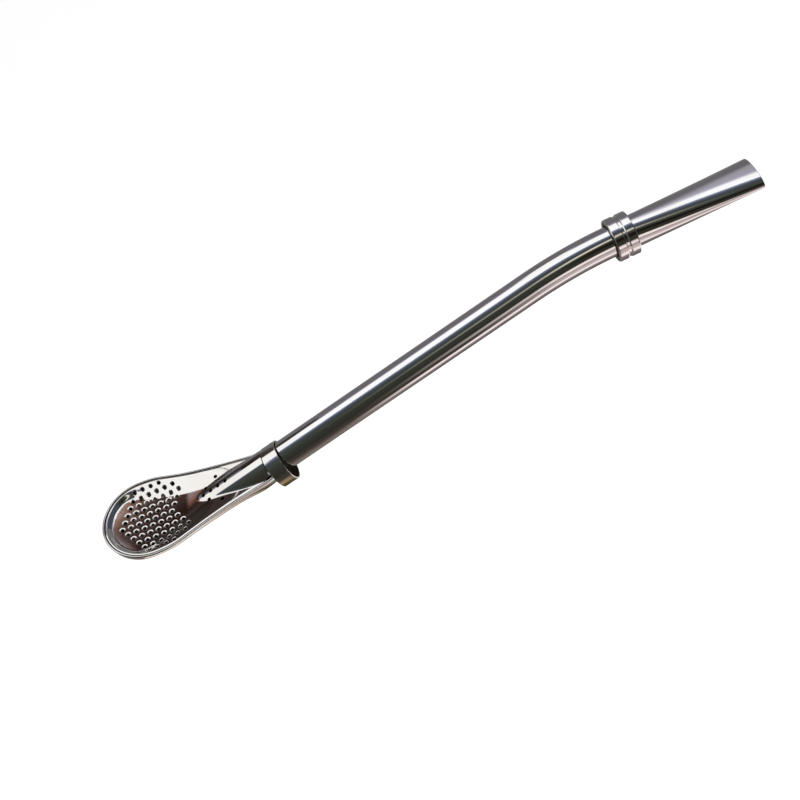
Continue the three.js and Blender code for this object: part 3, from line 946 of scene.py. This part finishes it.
def end_wall(name, x, colour, radius=ROOM_RADIUS):
    """A disc square to the stem's axis, which closes the room at one end."""
    sides = 48
    mesh = bpy.data.meshes.new(name)
    angles = [i * 2 * math.pi / sides for i in range(sides)]
    rim = [placed(Vector((x, radius * math.cos(angle), radius * math.sin(angle))))
           for angle in angles]
    mesh.from_pydata(rim, [], [tuple(range(sides))])
    mesh.materials.append(panel_material(name, [(0, colour), (1, colour)], (0, 0, 0, 0)))
    reflected_only(name, mesh)


def room_panels():
    """The panels that go all round the straw."""
    whole = (-1500.0, 1700.0)
    panel("lamp_sheet", (80, 44), whole, [(0.0, (1.04, 1.05, 1.07)), (1.0, (1.05, 1.07, 1.1))],
          (0.06, 0, 0, 0), ROOM_RADIUS + 10)
    panel("dark_side_of_the_room", (44, -53), whole, [
        (0.0, (0.34, 0.38, 0.52)), (0.06, (0.16, 0.18, 0.27)), (0.15, (0.06, 0.07, 0.09)),
        (0.3, (0.05, 0.06, 0.052)), (0.6, (0.034, 0.038, 0.03)), (1.0, (0.028, 0.026, 0.02))])
    panel("brown_shade", (-52, -90), whole, [
        (0.0, (0.03, 0.028, 0.022)), (0.4, (0.05, 0.042, 0.033)), (0.8, (0.045, 0.036, 0.03)),
        (1.0, (0.2, 0.16, 0.13))])
    panel("brown_floor", (-89, -181), whole, [
        (0.0, (0.06, 0.048, 0.04)), (0.3, (0.2, 0.17, 0.15)), (1.0, (0.16, 0.14, 0.13))])
    panel("grey_wall", (180, 79), whole, [
        (0.0, (0.3, 0.3, 0.3)), (0.5, (0.14, 0.14, 0.145)), (0.85, (0.15, 0.135, 0.16)),
        (0.96, (0.3, 0.28, 0.34)), (1.0, (0.7, 0.68, 0.75))])
    end_wall("wall_behind_the_spoon", whole[0] + 10, (0.1, 0.1, 0.11))
    end_wall("wall_behind_the_lips", whole[1] - 10, (0.06, 0.075, 0.1))


def table_panels():
    """Pale things below and in front, which show along the lower side of the stem."""
    cream = (0.93, 0.83, 0.8)
    panel("pale_table", (-88, -117), (-215.0, 1700.0), [
        (0.0, (0.6, 0.52, 0.5)), (0.2, (0.93, 0.86, 0.86)), (0.6, cream), (1.0, (0.3, 0.24, 0.25))],
        (0.12, 0.25, 0.06, 0), ROOM_RADIUS - 5)
    panel("pink_floor", (-114, -181), (-170.0, 190.0), [
        (0.0, (0.25, 0.2, 0.21)), (0.5, (0.1, 0.085, 0.09)), (1.0, (0.07, 0.065, 0.07))],
        (0.1, 0, 0.2, 0.25), ROOM_RADIUS - 10)
    panel("white_floor", (-108, -181), (110.0, 900.0), [(0.0, cream), (1.0, (1, 0.95, 0.9))],
          (0.1, 0, 0.1, 0.3), ROOM_RADIUS - 15)
    panel("cream_sheet", (-44, -67), (-190.0, 345.0), [(0.0, cream), (1.0, (0.9, 0.78, 0.74))],
          (0.25, 0.25, 0.65, 0.15), ROOM_RADIUS - 15)
    panel("pink_sheet", (-66, -90), (-60.0, 320.0), [
        (0.0, (0.42, 0.34, 0.34)), (1.0, (0.6, 0.5, 0.5))],
        (0.1, 0.1, 0.4, 0.2), ROOM_RADIUS - 10)
    panel("cream_streak", (8, -8), (-260.0, 660.0), [
        (0.0, (0.7, 0.66, 0.52)), (1.0, (1, 0.92, 0.8))],
        (0.45, 0.45, 0.7, 0.25), ROOM_RADIUS - 15, slant=12.0)
    panel("black_gap", (-7, -30), (120.0, 1200.0), [
        (0.0, (0.006, 0.004, 0.004)), (1.0, (0.02, 0.015, 0.012))],
        (0.15, 0.3, 0.2, 0.2), ROOM_RADIUS - 10)


def mouth_panels():
    """A lavender wall far beyond the mouthpiece, for its flattened side."""
    panel("lavender_wall", (112, 62), (520.0, 1700.0), [
        (0.0, (0.17, 0.17, 0.18)), (0.25, (0.34, 0.33, 0.37)), (0.7, (0.38, 0.37, 0.45)),
        (1.0, (0.8, 0.8, 0.9))], (0.15, 0.25, 0.16, 0), ROOM_RADIUS - 10)


def spoon_panels():
    """Near cards for the spoon's reflections: white towards the camera, brown and black beyond
    the top, cream and gold below. A white sheet far over the stem comes last."""
    near = NEAR_RADIUS
    white = [(0.0, (1, 1, 1)), (1.0, (1, 1, 1))]
    shade = [(0.0, (0.045, 0.038, 0.035)), (1.0, (0.045, 0.032, 0.03))]
    panel("brown_cloth", (82.6, 77.4), (-125.0, -13.0), [
        (0.0, (0.012, 0.007, 0.006)), (0.4, (0.022, 0.011, 0.009)), (0.65, (0.045, 0.022, 0.018)),
        (0.79, (0.08, 0.042, 0.034)), (0.865, (0.22, 0.1, 0.072)), (0.92, (0.45, 0.33, 0.3)),
        (1.0, (0.95, 0.93, 0.93))], (0, 0, 0, 0.05), near)
    panel("grey_cloth", (81.0, 78.2), (-35.0, -28.4), [
        (0.0, (0.1, 0.035, 0.025)), (0.25, (0.24, 0.1, 0.07)), (0.45, (0.27, 0.2, 0.2)),
        (1.0, (0.5, 0.48, 0.5))], (0.25, 0.15, 0.2, 0.06), near - 1)
    panel("black_cloth", (116, 82.4), (-130.0, -25.0), [
        (0.0, (0.04, 0.035, 0.03)), (0.6, (0.03, 0.022, 0.02)), (1.0, (0.012, 0.007, 0.006))],
        (0.1, 0, 0, 0.06), near)
    panel("grey_floor", (140, 115), (-130.0, -49.0), [
        (0.0, (0.08, 0.075, 0.07)), (1.0, (0.045, 0.04, 0.035))], (0.2, 0, 0, 0.06), near)
    panel("blue_card", (95, 76.5), (-62.0, -38.5), [
        (0.0, (0.1, 0.09, 0.1)), (0.5, (0.13, 0.14, 0.18)), (0.8, (0.25, 0.27, 0.34)),
        (1.0, (0.5, 0.53, 0.62))], (0.2, 0, 0, 0.08), near - 1)
    panel("white_card", (77.6, 44), (-125.0, -13.0), white, (0, 0.06, 0, 0.05), near + 1)
    panel("low_white_card", (46, 35), (-125.0, -29.0), white, (0.05, 0.15, 0, 0.03), near + 1)
    panel("upper_ribbon", (81.2, 77.6), (-8.2, 3.0), shade, (0.03, 0.2, 0, 0.1), near - 2,
          slant=1.1)
    panel("lower_ribbon", (105, 81.1), (-34.0, -8.1), shade, (0.25, 0.01, 0.1, 0), near - 2)
    panel("cream_card", (-92, -172), (-130.0, -33.0), [
        (0.0, (0.95, 0.87, 0.8)), (0.4, (0.85, 0.76, 0.68)), (0.53, (0.5, 0.42, 0.36)),
        (0.66, (0.2, 0.16, 0.13)), (1.0, (0.1, 0.08, 0.07))], (0.15, 0, 0, 0.03), near)
    panel("golden_card", (-86, -180), (-34.0, -26.0), [
        (0.0, (0.24, 0.18, 0.09)), (0.2, (0.32, 0.23, 0.12)), (0.4, (0.08, 0.06, 0.035)),
        (1.0, (0.04, 0.03, 0.02))], (0.08, 0, 0.1, 0.1), near + 1)
    panel("white_sheet", (90, 74), (0.0, 300.0), white, (0.15, 0.1, 0.15, 0.2),
          ROOM_RADIUS - 20)


def looked_at(tree):
    """1 for rays that the camera, a reflection or a see-through part sends out, else 0."""
    path = tree.nodes.new("ShaderNodeLightPath")
    seen = path.outputs["Is Camera Ray"]
    for kind in ("Is Glossy Ray", "Is Transmission Ray"):
        either = tree.nodes.new("ShaderNodeMath")
        either.operation = "MAXIMUM"
        tree.links.new(seen, either.inputs[0])
        tree.links.new(path.outputs[kind], either.inputs[1])
        seen = either.outputs[0]
    return seen


def pale_floor_material():
    """Pale and matt; what the room's light leaves short of white is added where it is seen."""
    material = bpy.data.materials.new("pale_floor")
    material.use_nodes = True
    tree = material.node_tree
    shader = tree.nodes["Principled BSDF"]
    shader.inputs["Base Color"].default_value = (0.95, 0.95, 0.95, 1)
    shader.inputs["Roughness"].default_value = 0.9
    shader.inputs["Emission Color"].default_value = (1, 1, 1, 1)
    lift = tree.nodes.new("ShaderNodeMapRange")
    lift.inputs["To Max"].default_value = FLOOR_LIFT
    tree.links.new(looked_at(tree), lift.inputs["Value"])
    tree.links.new(lift.outputs["Result"], shader.inputs["Emission Strength"])
    return material


def floor():
    """A pale floor well below the straw, which casts only a wide, faint shadow on it."""
    mesh = bpy.data.meshes.new("floor")
    corners = [(x * FLOOR_HALF_SIDE, y * FLOOR_HALF_SIDE, -FLOOR_DROP)
               for x, y in ((-1, -1), (1, -1), (1, 1), (-1, 1))]
    mesh.from_pydata(corners, [], [(0, 1, 2, 3)])
    mesh.materials.append(pale_floor_material())
    piece = bpy.data.objects.new("floor", mesh)
    bpy.context.scene.collection.objects.link(piece)


def white_world():
    """White where the camera, a reflection or a see-through part looks at it."""
    world = bpy.data.worlds.new("white_room")
    bpy.context.scene.world = world
    world.use_nodes = True
    tree = world.node_tree
    background = tree.nodes["Background"]
    background.inputs["Color"].default_value = (1, 1, 1, 1)
    strength = tree.nodes.new("ShaderNodeMapRange")
    strength.inputs["To Min"].default_value = ROOM_LIGHT
    strength.inputs["To Max"].default_value = 1.0
    tree.links.new(looked_at(tree), strength.inputs["Value"])
    tree.links.new(strength.outputs["Result"], background.inputs["Strength"])


def soft_lamp():
    data = bpy.data.lights.new("soft_lamp", "AREA")
    data.shape = "DISK"
    data.size = 1.2
    data.energy = 12
    lamp = bpy.data.objects.new("soft_lamp", data)
    lamp.location = LAMP_PLACE
    lamp.rotation_euler = LAMP_PLACE.to_track_quat("Z", "Y").to_euler()
    lamp.visible_glossy = False
    bpy.context.scene.collection.objects.link(lamp)


def camera():
    data = bpy.data.cameras.new("photo_camera")
    data.lens = CAMERA_LENS
    data.sensor_width = 36
    data.shift_y = CAMERA_SHIFT
    data.clip_start = 0.01
    view = bpy.data.objects.new("photo_camera", data)
    view.location = placed(CAMERA_PLACE)
    view.rotation_euler = [math.radians(turn) for turn in CAMERA_TURNS]
    bpy.context.scene.collection.objects.link(view)
    bpy.context.scene.camera = view


stem_metal = polished_metal("stem_plating", (0.93, 0.92, 0.91), (0.88, 0.86, 0.84),
                            roughness=0.05)
fitting_metal = polished_metal("fitting_plating", (0.93, 0.92, 0.90), (0.88, 0.86, 0.82),
                               roughness=0.06)
filter_metal = polished_metal("filter_plating", (0.92, 0.91, 0.89), (0.86, 0.82, 0.78),
                              roughness=0.05)
strainer_metal = polished_metal("strainer_plating", (0.92, 0.91, 0.89), (0.85, 0.81, 0.76),
                                roughness=0.03, lining=0.12)
# Painted shade for the ring's bore and the collar's ends.
shade_metal = painted_shade_metal()
# Painted shade for the head's hollow inside.
inside_metal = painted_hollow_shade_metal()

stem_tube(stem_metal)
mouthpiece(stem_metal)
mouth_collar([fitting_metal, shade_metal])
neck_ring([fitting_metal, shade_metal])
rear_bowl([filter_metal, inside_metal])
front_strainer([strainer_metal, cut_and_shade_metal(), inside_metal])
floor()
white_world()
soft_lamp()
room_panels()
table_panels()
mouth_panels()
spoon_panels()
camera()
bpy.context.scene.view_settings.view_transform = "Standard"
